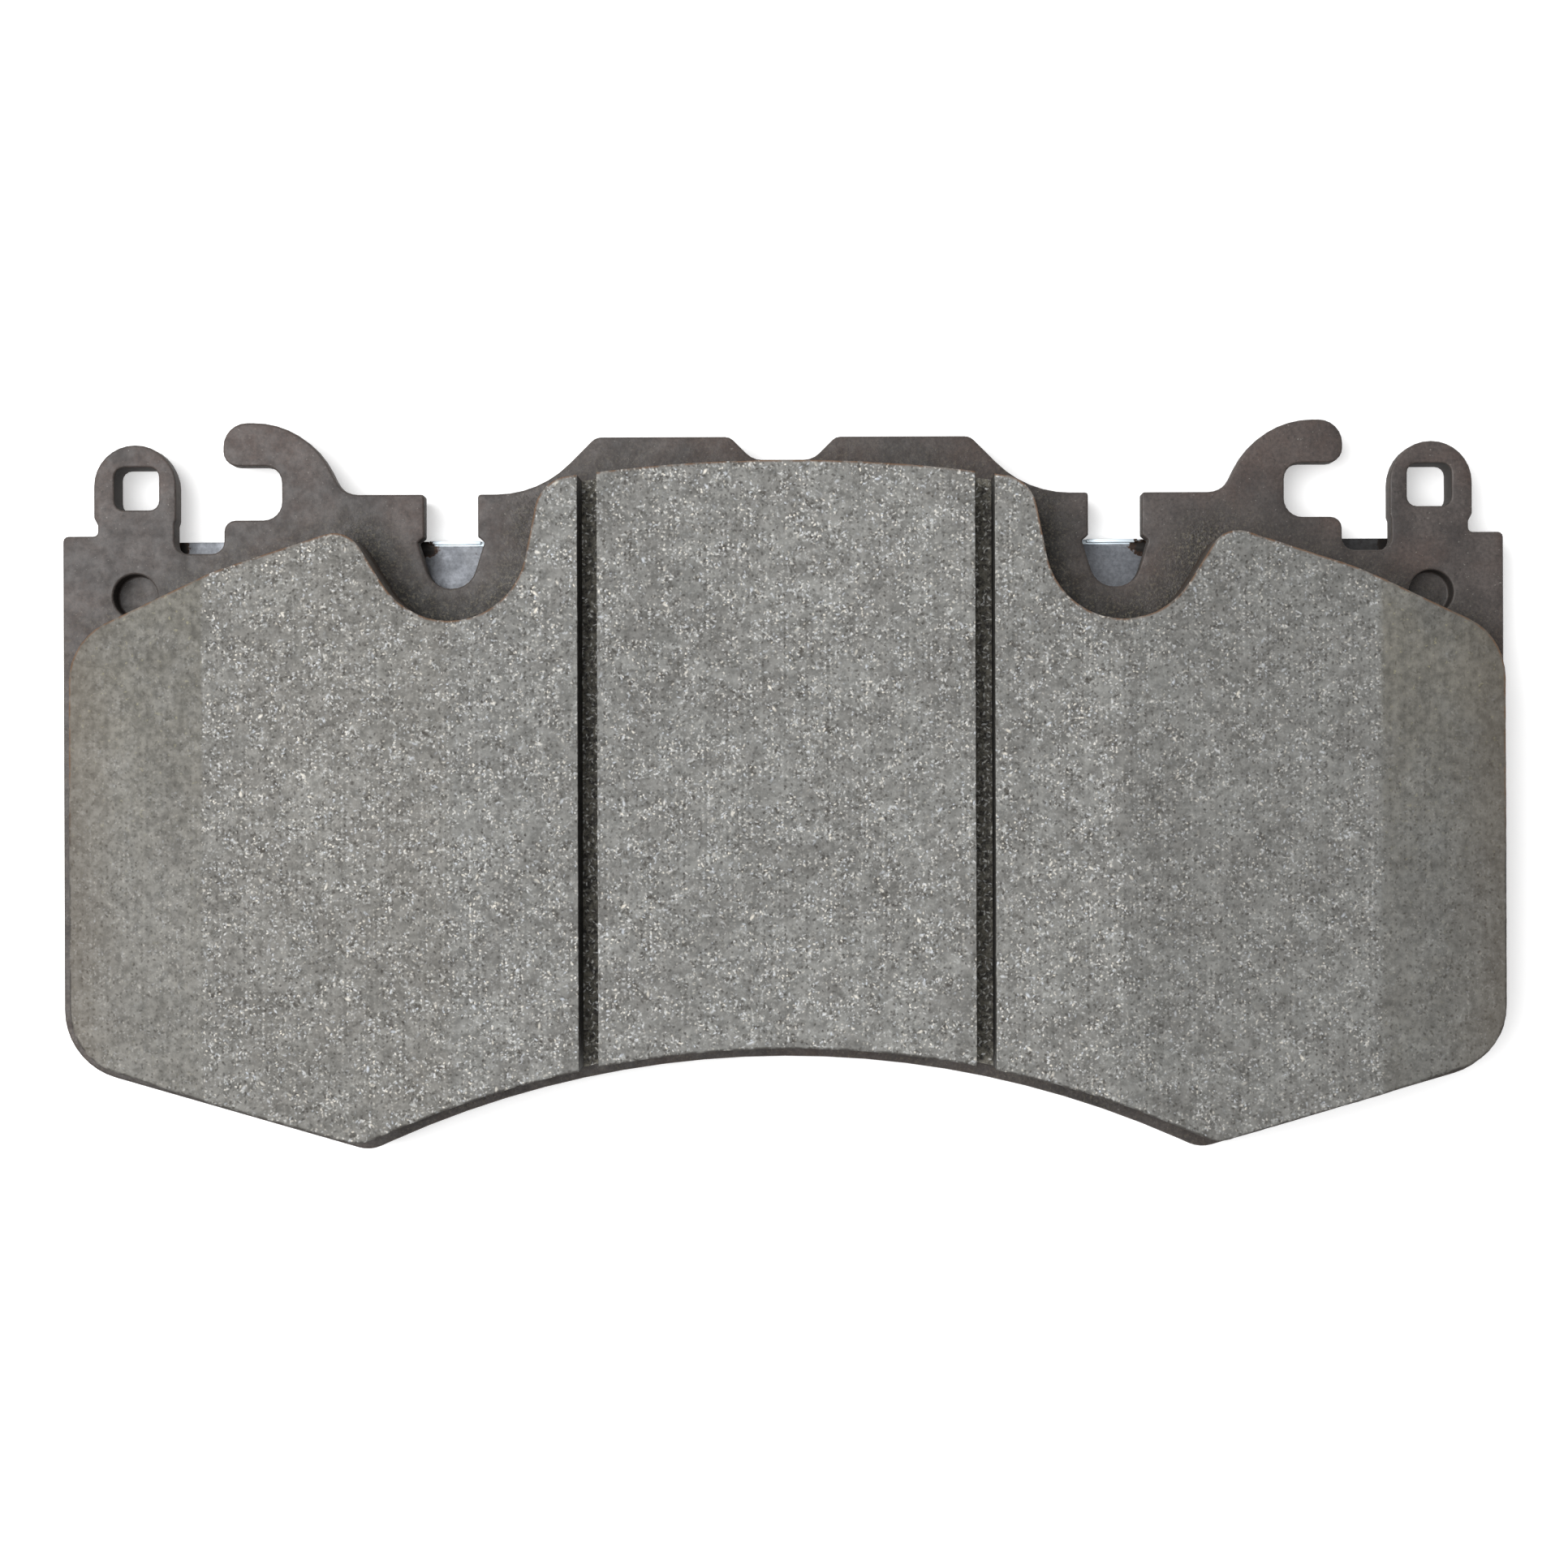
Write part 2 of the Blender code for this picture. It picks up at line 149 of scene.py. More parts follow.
def level_loops(node, level, facing=1):
    """Closed outlines of a node's flat faces at one height, largest first, material on the left."""
    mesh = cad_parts[node].data
    spots = [tuple(round(value / MM, 4) for value in vertex.co) for vertex in mesh.vertices]
    edges = set()
    for face in mesh.polygons:
        corners = [spots[i] for i in face.vertices]
        if face.normal.z * facing < 0.99 or abs(corners[0][2] - level) > 0.01:
            continue
        if facing < 0:
            corners.reverse()
        edges.update(zip(corners, corners[1:] + corners[:1]))
    following = {a: b for a, b in edges if (b, a) not in edges}
    loops = []
    while following:
        start = at = min(following)
        loop = []
        while at in following:
            loop.append(at[:2])
            at = following.pop(at)
        assert at == start
        loops.append(np.array(loop))
    return sorted(loops, key=lambda loop: -abs(loop_area(loop)))


def loop_area(loop):
    """Signed area inside an outline."""
    x, y = loop.T
    return float((x * np.roll(y, -1) - y * np.roll(x, -1)).sum() / 2.0)


def node_heights(node):
    """A node's lowest and highest level."""
    low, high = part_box(node)
    return low.z / MM, high.z / MM


def upper_surface(node):
    """The height of a node's top, as a function of points, where its top is made of planes."""
    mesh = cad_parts[node].data
    planes = {}
    for face in mesh.polygons:
        if face.normal.z > 0.5:
            offset = face.normal.dot(mesh.vertices[face.vertices[0]].co) / MM
            planes[tuple(round(value, 3) for value in face.normal)] = (face.normal.copy(), offset)

    def height(points):
        levels = [(offset - points @ normal.xy) / normal.z for normal, offset in planes.values()]
        return np.min(levels, axis=0)

    return height


def refined(loop, step):
    """The same outline with no edge longer than step, and none so short that it shades badly."""
    loop = loop[np.linalg.norm(loop - np.roll(loop, 1, axis=0), axis=1) > SHORTEST_EDGE]
    points = []
    for a, b in zip(loop, np.roll(loop, -1, axis=0)):
        parts = max(1, math.ceil(np.linalg.norm(b - a) / step))
        points += [a + (b - a) * k / parts for k in range(parts)]
    return np.array(points)


def edge_distance(points, loops):
    """Each point's distance to the nearest outline."""
    starts = np.concatenate(loops)
    along = np.concatenate([np.roll(loop, -1, axis=0) for loop in loops]) - starts
    squares = (along**2).sum(1)
    nearest = []
    for part in np.array_split(points, len(points) // 1500 + 1):
        gap = part[:, None, :] - starts
        share = np.clip((gap * along).sum(2) / squares, 0.0, 1.0)
        gap -= share[..., None] * along
        nearest.append(np.sqrt((gap**2).sum(2).min(1)))
    return np.concatenate(nearest)


def inside(points, loops):
    """Whether each point lies in the material that the outlines bound."""
    odd = np.zeros(len(points), bool)
    for loop in loops:
        (x1, y1), (x2, y2) = loop.T, np.roll(loop, -1, axis=0).T
        rise = np.where(y2 == y1, 1.0, y2 - y1)
        for part in np.array_split(np.arange(len(points)), len(points) // 3000 + 1):
            x, y = points[part, :1], points[part, 1:]
            crosses = ((y1 > y) != (y2 > y)) & (x < x1 + (y - y1) * (x2 - x1) / rise)
            odd[part] ^= crosses.sum(1) % 2 == 1
    return odd


# Meshes ------------------------------------------------------------------------------------


def inner_points(loops, step, rim):
    """Points to fill outlines with: rings along the edges, then a jittered triangular grid."""
    found = []
    for share in RING_SHARES:
        for loop in loops:
            away = np.roll(loop, -1, axis=0) - np.roll(loop, 1, axis=0)
            away /= np.linalg.norm(away, axis=1)[:, None]
            ring = loop + share * rim * np.stack([-away[:, 1], away[:, 0]], axis=1)
            clear = edge_distance(ring, loops) > 0.95 * share * rim
            found.append(ring[clear & inside(ring, loops)])
    low, high = loops[0].min(0), loops[0].max(0)
    columns = np.arange(low[0], high[0], step)
    rows = np.arange(low[1], high[1], step * math.sqrt(0.75))
    x, y = np.meshgrid(columns, rows)
    x[1::2] += step / 2.0
    grid = np.stack([x.ravel(), y.ravel()], axis=1)
    grid += np.random.default_rng(SEED).uniform(-GRID_JITTER, GRID_JITTER, grid.shape) * step
    grid = grid[inside(grid, loops)]
    found.append(grid[edge_distance(grid, loops) > rim + 0.45 * step])
    return np.concatenate(found)


def filled(loops, step, rim):
    """Points and triangles that fill outlines."""
    border = np.concatenate(loops)
    edges, first = [], 0
    for loop in loops:
        edges += [(first + i, first + (i + 1) % len(loop)) for i in range(len(loop))]
        first += len(loop)
    points = np.concatenate([border, inner_points(loops, step, rim)])
    made = geometry.delaunay_2d_cdt([Vector(p) for p in points], edges, [], 1, 1e-6)
    points = np.array([tuple(p) for p in made[0]])
    triangles = np.array(made[2])
    middles = points[triangles].mean(axis=1)
    return points, triangles[inside(middles, loops)]


def roll_off(away, rim):
    """How far a rounded edge has dropped, at a distance from the outline."""
    share = 1.0 - np.clip(away / rim, 0.0, 1.0)
    return rim * (1.0 - np.sqrt(np.maximum(0.0, 1.0 - share**2)))


def linked(name, bm, sharp_degrees=None):
    """Put a bmesh into the scene as an object that shades smoothly."""
    mesh = bpy.data.meshes.new(name)
    bm.to_mesh(mesh)
    bm.free()
    mesh.shade_smooth()
    if sharp_degrees is not None:
        mesh.set_sharp_from_angle(angle=math.radians(sharp_degrees))
    made = bpy.data.objects.new(name, mesh)
    bpy.context.scene.collection.objects.link(made)
    return made


class Shell:
    """The faces of one mesh, gathered in millimetres, with coinciding points merged at the end.
    A rounded rim and its wall can end a few thousandths of a millimetre apart and stay unmerged."""

    def __init__(self, step):
        self.step = step
        self.points, self.faces, self.count = [], [], 0

    def add(self, points, faces):
        self.points.append(points)
        self.faces += (np.asarray(faces) + self.count).tolist()
        self.count += len(points)

    def cap(self, loops, height, rim, facing=1, step=None):
        """Fill outlines at a height, facing up (1) or down (-1). The edges curve back by rim, or
        forward where it is negative, as in the fillet round a floor."""
        points, triangles = filled(loops, step or self.step, abs(rim))
        drop = math.copysign(1.0, rim) * roll_off(edge_distance(points, loops), abs(rim))
        z = height(points) - facing * drop
        if facing < 0:
            triangles = triangles[:, ::-1]
        self.add(np.column_stack([points, z]), triangles)

    def wall(self, loop, low, high, rows):
        """Stand a wall on an outline, between two heights."""
        n = len(loop)
        bottom, top = low(loop), high(loop)
        levels = [bottom + (top - bottom) * k / rows for k in range(rows + 1)]
        points = np.concatenate([np.column_stack([loop, z]) for z in levels])
        faces = []
        for k in range(rows):
            for i in range(n):
                j = (i + 1) % n
                faces.append((k * n + i, k * n + j, (k + 1) * n + j, (k + 1) * n + i))
        self.add(points, faces)

    def build(self, name):
        """The mesh as an object, with coinciding points merged."""
        bm = bmesh.new()
        verts = [bm.verts.new(p) for p in (np.concatenate(self.points) * MM)]
        for face in self.faces:
            bm.faces.new([verts[i] for i in face])
        bmesh.ops.remove_doubles(bm, verts=bm.verts, dist=MERGE_DISTANCE)
        return linked(name, bm, SHARP_DEGREES)


def flat(z):
    """A height that is the same everywhere."""
    return lambda points: np.full(len(points), float(z))


def lean_in(points, loop, floor):
    """Draw the broken lower part of a sheared edge inwards."""
    away = np.roll(loop, -1, axis=0) - np.roll(loop, 1, axis=0)
    inward = np.stack([-away[:, 1], away[:, 0]], axis=1)
    inward /= np.linalg.norm(inward, axis=1)[:, None]
    for _ in range(LEAN_SMOOTHING):
        inward += np.roll(inward, 1, axis=0) + np.roll(inward, -1, axis=0)
        inward /= np.linalg.norm(inward, axis=1)[:, None]
    near = edge_distance(points[:, :2], [loop])
    share = np.clip((FRACTURE_START - points[:, 2]) / (FRACTURE_START - floor), 0.0, 1.0)
    amount = FRACTURE_LEAN * share * np.clip(1.0 - near / FRACTURE_REACH, 0.0, 1.0)
    for i in np.flatnonzero(amount > 0.0):
        nearest = ((loop - points[i, :2]) ** 2).sum(1).argmin()
        points[i, :2] += amount[i] * inward[nearest]
    return points


def slab(name, loops, low, high, step, low_rim, high_rim, rows=1):
    """A plate of one outline between two heights, with rounded edges."""
    shell = Shell(step)
    shell.cap(loops, high, high_rim)
    shell.cap(loops, low, low_rim, facing=-1, step=SHEET_STEP)
    for loop in loops:
        shell.wall(loop, lambda p: low(p) + low_rim, lambda p: high(p) - high_rim, rows)
    return shell.build(name)


def vertex_array(piece):
    """A piece's points, in millimetres."""
    values = np.empty(len(piece.data.vertices) * 3)
    piece.data.vertices.foreach_get("co", values)
    return values.reshape(-1, 3) / MM


def normal_array(piece):
    """The direction that each of a piece's points faces."""
    values = np.empty(len(piece.data.vertices) * 3, np.float32)
    piece.data.vertex_normals.foreach_get("vector", values)
    return values.reshape(-1, 3)


def set_vertices(piece, points):
    piece.data.vertices.foreach_set("co", (points * MM).ravel())
    piece.data.update()


def paint(piece, name, values):
    """Store one number per point, for the material to read."""
    layer = piece.data.attributes.new(name, "FLOAT", "POINT")
    layer.data.foreach_set("value", values.astype(np.float32))


def wavy(points, size, octaves=2, shift=0.0):
    """Smooth noise from -1 to 1 at each point, with features of that size."""
    spots = points / size + shift
    return np.array([noise.fractal(Vector(p), 0.7, 2.0, octaves) for p in spots])


def add_piece(piece, material, node):
    """Finish a piece that stands for a CAD node."""
    piece.data.materials.append(material)
    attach(piece, "root")
    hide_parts(node)


# Materials ---------------------------------------------------------------------------------


class Look:
    """A procedural material: each call adds one node and returns its output."""

    def __init__(self, name, roughness, metallic=0.0, specular=0.5):
        self.material = bpy.data.materials.new(name)
        self.material.use_nodes = True
        self.tree = self.material.node_tree
        self.shader = self.tree.nodes["Principled BSDF"]
        self.shader.inputs["Roughness"].default_value = roughness
        self.shader.inputs["Metallic"].default_value = metallic
        self.shader.inputs["Specular IOR Level"].default_value = specular
        place = self.add("ShaderNodeTexCoord", output="Object")
        self.mm = self.add(
            "ShaderNodeVectorMath", {0: place, "Scale": 1.0 / MM}, operation="SCALE"
        )
        self.bent = self.mm

    def bend(self, size, amount):
        """Make the flecks irregular, by moving the places that they are drawn at."""
        inputs = {"Vector": self.mm, "Scale": 1.0 / size, "Detail": 1.0}
        shift = self.add("ShaderNodeTexNoise", inputs, output="Color")
        inputs = {0: shift, 1: (0.5, 0.5, 0.5)}
        shift = self.add("ShaderNodeVectorMath", inputs, operation="SUBTRACT")
        inputs = {0: shift, 1: (amount, amount, amount), 2: self.mm}
        self.bent = self.add("ShaderNodeVectorMath", inputs, operation="MULTIPLY_ADD")

    def add(self, kind, inputs=None, output=0, **settings):
        """One node. An input is a number, a colour or another node's output."""
        node = self.tree.nodes.new(kind)
        for name, value in settings.items():
            setattr(node, name, value)
        for key, value in (inputs or {}).items():
            if isinstance(value, bpy.types.NodeSocket):
                self.tree.links.new(value, node.inputs[key])
            else:
                node.inputs[key].default_value = value
        return node.outputs[output]

    def math(self, operation, a, b=0.0):
        return self.add("ShaderNodeMath", {0: a, 1: b}, operation=operation)

    def times(self, a, b):
        return self.math("MULTIPLY", a, b)

    def plus(self, a, b):
        return self.math("ADD", a, b)

    def step(self, value, start, end, low=0.0, high=1.0):
        """A soft step from low to high as value goes from start to end."""
        inputs = {"Value": value, "From Min": start, "From Max": end, "To Min": low, "To Max": high}
        return self.add("ShaderNodeMapRange", inputs, interpolation_type="SMOOTHSTEP")

    def part(self, vector, axis):
        return self.add("ShaderNodeSeparateXYZ", {0: vector}, output=axis)

    def scaled(self, factors):
        """The place in millimetres, stretched along the axes."""
        return self.add("ShaderNodeVectorMath", {0: self.mm, 1: factors}, operation="MULTIPLY")

    def noise(self, size, detail=2.0, roughness=0.5, place=None, shift=0.0):
        """Smooth noise from 0 to 1 with features of that size in millimetres."""
        place = place or self.mm
        if shift:
            place = self.add("ShaderNodeVectorMath", {0: place, 1: (shift, -shift, shift)})
        inputs = {"Vector": place, "Scale": 1.0 / size, "Detail": detail, "Roughness": roughness}
        return self.add("ShaderNodeTexNoise", inputs)

    def flecks(self, size, length, width, share, shift):
        """Small rods that lie every way in the pad's plane, one to each cell of that size, some
        faint and some strong. Returns their mask and a random number for each."""
        place = self.add("ShaderNodeVectorMath", {0: self.bent, 1: (shift, shift, shift)})
        cell = self.tree.nodes.new("ShaderNodeTexVoronoi")
        cell.inputs["Scale"].default_value = 1.0 / size
        self.tree.links.new(place, cell.inputs["Vector"])
        inputs = {0: cell.outputs["Color"]}
        chance, turn, tint = (
            self.add("ShaderNodeSeparateColor", inputs, output=i) for i in range(3)
        )
        inputs = {0: place, 1: cell.outputs["Position"]}
        local = self.add("ShaderNodeVectorMath", inputs, operation="SUBTRACT")
        inputs = {"Vector": local, "Angle": self.times(turn, 2.0 * math.pi)}
        local = self.add("ShaderNodeVectorRotate", inputs, rotation_type="Z_AXIS")
        inputs = {0: local, 1: (1.0 / length, 1.0 / width, 1.0 / size)}
        local = self.add("ShaderNodeVectorMath", inputs, operation="MULTIPLY")
        reach = self.add("ShaderNodeVectorMath", {0: local}, output="Value", operation="LENGTH")
        strength = self.math("POWER", self.step(chance, share, 0.0), 1.5)
        return self.times(self.step(reach, 1.0, 0.25), strength), tint

    def spot(self, centre, radii, edge=0.5):
        """A round spot with a soft, ragged edge, at the same place in both halves."""
        place = self.add("ShaderNodeVectorMath", {0: self.mm}, operation="ABSOLUTE")
        inputs = {0: place, 1: (*centre, 0.0)}
        place = self.add("ShaderNodeVectorMath", inputs, operation="SUBTRACT")
        inputs = {0: place, 1: (1.0 / radii[0], 1.0 / radii[1], 0.0)}
        place = self.add("ShaderNodeVectorMath", inputs, operation="MULTIPLY")
        reach = self.add("ShaderNodeVectorMath", {0: place}, output="Value", operation="LENGTH")
        ragged = self.step(self.noise(0.5, 2.0, shift=27.0), 0.3, 0.7, -0.2, 0.2)
        return self.step(self.plus(reach, ragged), 1.0, edge)

    def mix(self, factor, a, b):
        """Colour a, turning to colour b with the factor."""
        inputs = {0: factor, 6: as_colour(a), 7: as_colour(b)}
        return self.add("ShaderNodeMix", inputs, output=2, data_type="RGBA")

    def level(self, factor, a, b):
        """Number a, turning to number b with the factor."""
        return self.add("ShaderNodeMix", {0: factor, 2: a, 3: b})

    def attribute(self, name):
        return self.add("ShaderNodeAttribute", output="Fac", attribute_name=name)

    def level_faces(self):
        """1 on faces that lie level, 0 on walls."""
        facing = self.add("ShaderNodeNewGeometry", output="Normal")
        return self.step(self.math("ABSOLUTE", self.part(facing, 2)), 0.35, 0.8)

    def brighten(self, colour, value):
        """A colour multiplied by a number."""
        return self.add("ShaderNodeVectorMath", {0: colour, "Scale": value}, operation="SCALE")

    def bump(self, height, depth, normal=None):
        """Relief, where height from 0 to 1 means depth in millimetres."""
        inputs = {"Height": height, "Distance": depth * MM, "Strength": 1.0}
        if normal:
            inputs["Normal"] = normal
        return self.add("ShaderNodeBump", inputs)

    def finish(self, colour, roughness=None, normal=None):
        for key, value in (("Base Color", colour), ("Roughness", roughness), ("Normal", normal)):
            if value is not None:
                self.tree.links.new(value, self.shader.inputs[key])
        return self.material


def as_colour(value):
    """A node output as it is, or an 8-bit sRGB colour as linear values."""
    if isinstance(value, bpy.types.NodeSocket):
        return value
    return (*[((c / 255 + 0.055) / 1.055) ** 2.4 for c in value], 1.0)


def friction_look():
    """Ground semi-metallic friction material: grey binder full of fibres, flakes and pores."""
    look = Look("friction_material", 0.72, specular=0.35)
    look.bend(0.5, 0.2)
    x = look.part(look.mm, 0)
    left_ramp = look.step(x, RAMP_LEFT_X + 0.1, RAMP_LEFT_X - 0.5)
    ramp = look.math("MAXIMUM", left_ramp, look.step(x, RAMP_RIGHT_X - 0.6, RAMP_RIGHT_X + 0.8))
    right = look.step(x, *RIGHT_TONE_X)
    left = look.step(x, *LEFT_TONE_X)

    patch = look.noise(5.0, 3.0, 0.6)
    grain = look.noise(1.15, 3.0, 0.6)
    crowd = look.step(look.noise(2.6, 2.0, 0.55, shift=11.0), 0.34, 0.62, 0.12, 1.0)
    crowd = look.times(crowd, look.level(ramp, 1.0, 0.35))
    crowd = look.times(crowd, look.level(right, 1.0, 0.75))
    colour = look.mix(look.step(patch, 0.3, 0.7), (98, 97, 94), (113, 113, 110))
    colour = look.mix(look.times(left, 0.3), colour, (104, 100, 93))
    colour = look.brighten(colour, look.step(grain, 0.26, 0.74, 0.74, 1.28))

    pore = look.step(look.noise(0.95, 3.0, 0.6, shift=31.0), 0.54, 0.68)
    colour = look.mix(look.times(pore, look.times(crowd, 0.8)), colour, (54, 50, 44))
    blob = look.step(look.noise(0.62, 2.0, 0.6, shift=71.0), 0.56, 0.72)
    colour = look.mix(look.times(blob, look.times(crowd, 0.75)), colour, (176, 177, 175))
    relief = look.math("SUBTRACT", grain, look.times(pore, look.times(crowd, 0.6)))
    # Steel fibres: their pale colour is partly their own and partly a painted glint, as the
    # material has no metal shine.
    for kind in BRIGHT_FLECKS:
        mask, tint = look.flecks(*kind)
        mask = look.times(mask, crowd)
        metal_glint = look.mix(tint, (178, 183, 190), (212, 206, 194))
        colour = look.mix(mask, colour, metal_glint)
        relief = look.plus(relief, look.times(mask, 0.6))
    for kind in DARK_FLECKS:
        mask, tint = look.flecks(*kind)
        colour = look.mix(look.times(mask, 0.8), colour, look.mix(tint, (46, 42, 36), (64, 62, 60)))
        relief = look.math("SUBTRACT", relief, look.times(mask, 0.6))

    lines = look.noise(1.0, 2.0, place=look.scaled((1.3, 0.03, 1.0)))
    ground = look.mix(look.step(grain, 0.25, 0.75), (78, 76, 70), (108, 105, 97))
    ground = look.brighten(ground, look.step(lines, 0.3, 0.7, 0.90, 1.08))
    clouds = look.noise(12.0, 3.0, shift=2.0)
    ground = look.brighten(ground, look.step(clouds, 0.3, 0.7, 0.84, 1.12))
    lower = look.step(look.part(look.mm, 1), 20.0, -20.0, 0.85, 0.25)
    smooth = look.times(look.step(look.noise(5.0, 3.0, shift=61.0), 0.25, 0.6, 0.45, 1.0), lower)
    olive = look.step(look.noise(0.7, 2.0, 0.6, shift=91.0), 0.64, 0.72)
    ground = look.mix(look.times(olive, 0.5), ground, (146, 141, 112))
    pits = look.step(look.noise(0.8, 2.0, 0.6, shift=97.0), 0.62, 0.70)
    ground = look.mix(look.times(pits, 0.5), ground, (58, 54, 46))
    ground = look.brighten(ground, look.level(right, 1.0, 1.18))
    colour = look.mix(look.times(ramp, smooth), colour, ground)
    # Darker and browner towards both ends of the lining.
    edge = look.step(look.math("ABSOLUTE", x), *DARK_END_X)
    colour = look.mix(look.times(edge, 0.4), colour, (84, 74, 62))
    # A slow random tone. The right block is also made 14% darker, partly its own tone and partly
    # painted shade of light falling off to the right. The right ramp was lightened above to make up
    # for it.
    tone = look.step(look.noise(24.0, 2.0), 0.3, 0.7, 0.94, 1.06)
    colour = look.brighten(colour, look.times(tone, look.level(right, 1.0, 0.86)))

    # Along the lining's edge: orange-brown on its upper side and near black on its lower side,
    # where the dark is painted shade.
    rim = look.step(look.attribute("rim"), 0.42, 0.10)
    rim = look.times(rim, look.step(look.noise(1.6, 2.0, shift=5.0), 0.38, 0.55, 0.25, 0.9))
    high = look.step(look.part(look.mm, 1), -12.0, 4.0)
    colour = look.mix(rim, colour, look.mix(high, (46, 42, 38), (92, 66, 44)))
    # Walls are darker than the ground face, partly in their own dark colour and partly as painted
    # shade.
    wall = look.mix(look.noise(0.5, 3.0, 0.7), (30, 28, 25), (62, 58, 52))
    wall = look.mix(0.45, wall, look.brighten(colour, 0.45))
    colour = look.mix(look.level_faces(), wall, colour)
    rough = look.step(grain, 0.3, 0.7, 0.78, 0.60)
    return look.finish(colour, rough, look.bump(relief, 0.06))


def base_mix_look():
    """Pressed underlayer: dark and gritty, with bright crumbs in the slots, whose near-white colour
    is partly a painted glint.
    """
    look = Look("base_mix", 0.6, specular=0.5)
    look.bend(0.5, 0.5)
    grit = look.noise(0.7, 3.0, 0.7)
    colour = look.mix(look.step(grit, 0.32, 0.66), (36, 33, 28), (128, 124, 112))
    # Crumbs in the slots, painted near white: partly their own colour and partly a painted glint.
    for kind in SLOT_CRUMBS:
        mask, tint = look.flecks(*kind)
        colour = look.mix(mask, colour, look.mix(tint, (225, 226, 226), (250, 248, 240)))
    normal = look.bump(grit, 0.22)
    return look.finish(look.mix(look.level_faces(), (58, 46, 36), colour), None, normal)


def plate_look():
    """Thin dark coating on blanked steel, gritty beside the lining."""
    look = Look("coated_steel", 0.5, specular=0.4)
    mottle = look.noise(6.0, 4.0, 0.65)
    colour = look.mix(look.step(mottle, 0.34, 0.66), (46, 40, 38), (66, 59, 56))
    warm = look.step(look.noise(9.0, 3.0, shift=23.0), 0.45, 0.7)
    colour = look.mix(look.times(warm, 0.4), colour, (68, 49, 41))
    fine = look.noise(0.5, 3.0, 0.7, shift=37.0)
    colour = look.brighten(colour, look.step(fine, 0.3, 0.7, 0.72, 1.28))
    dots = look.step(look.noise(0.55, 2.0, 0.6, shift=7.0), 0.62, 0.72)
    colour = look.mix(look.times(dots, 0.6), colour, (26, 22, 19))
    dust = look.step(look.noise(0.36, 1.0, shift=13.0), 0.72, 0.80)
    colour = look.mix(look.times(dust, 0.4), colour, (140, 136, 130))

    # Within 7 mm of the lining the plate turns darker and gritty, less so round the valley.
    near = look.step(look.attribute("lining"), 7.0, 0.4)
    near = look.times(near, look.level(look.spot(VALLEY_MIDDLE, (17.0, 17.0), 0.6), 0.4, 1.0))
    lining_margin = look.times(near, look.step(look.noise(4.0, 3.0, shift=3.0), 0.3, 0.6, 0.5, 1.0))
    grit = look.noise(0.42, 3.0, 0.75, shift=53.0)
    margin_colour = look.mix(look.step(grit, 0.46, 0.70), (20, 17, 12), (96, 90, 74))
    colour = look.mix(look.times(lining_margin, 0.9), colour, margin_colour)

    streaks = look.noise(1.0, 3.0, place=look.scaled((1.6, 1.6, 0.25)))
    sheared = look.mix(look.step(streaks, 0.3, 0.7), (28, 23, 19), (60, 49, 41))
    broken = look.mix(look.step(fine, 0.3, 0.7), (26, 21, 17), (60, 45, 36))
    height = look.plus(look.part(look.mm, 2), look.step(streaks, 0.3, 0.7, -0.3, 0.3))
    sheared = look.mix(look.step(height, FRACTURE_START, FRACTURE_START - 0.4), sheared, broken)
    # Painted shade on the walls inside the recesses and the ear holes.
    for centre, radius in ((RECESS_MIDDLE, 3.6), (EAR_HOLE_MIDDLE, 4.6)):
        recess_shade = look.spot(centre, (radius, radius), 0.9)
        sheared = look.mix(look.times(recess_shade, 0.75), sheared, (20, 15, 12))
    colour = look.mix(look.level_faces(), sheared, colour)
    # A painted highlight along the plate's front edge.
    edge = look.times(look.step(look.attribute("rim"), 0.3, 0.05), 0.3)
    colour = look.mix(edge, colour, (92, 87, 84))

    peel = look.noise(0.75, 2.0, shift=9.0)
    rough = look.step(look.noise(1.5, 2.0, shift=15.0), 0.3, 0.7, 0.42, 0.56)
    rough = look.level(look.level_faces(), 0.8, rough)
    normal = look.bump(peel, 0.035, look.bump(look.times(grit, near), 0.09))
    return look.finish(colour, rough, normal)


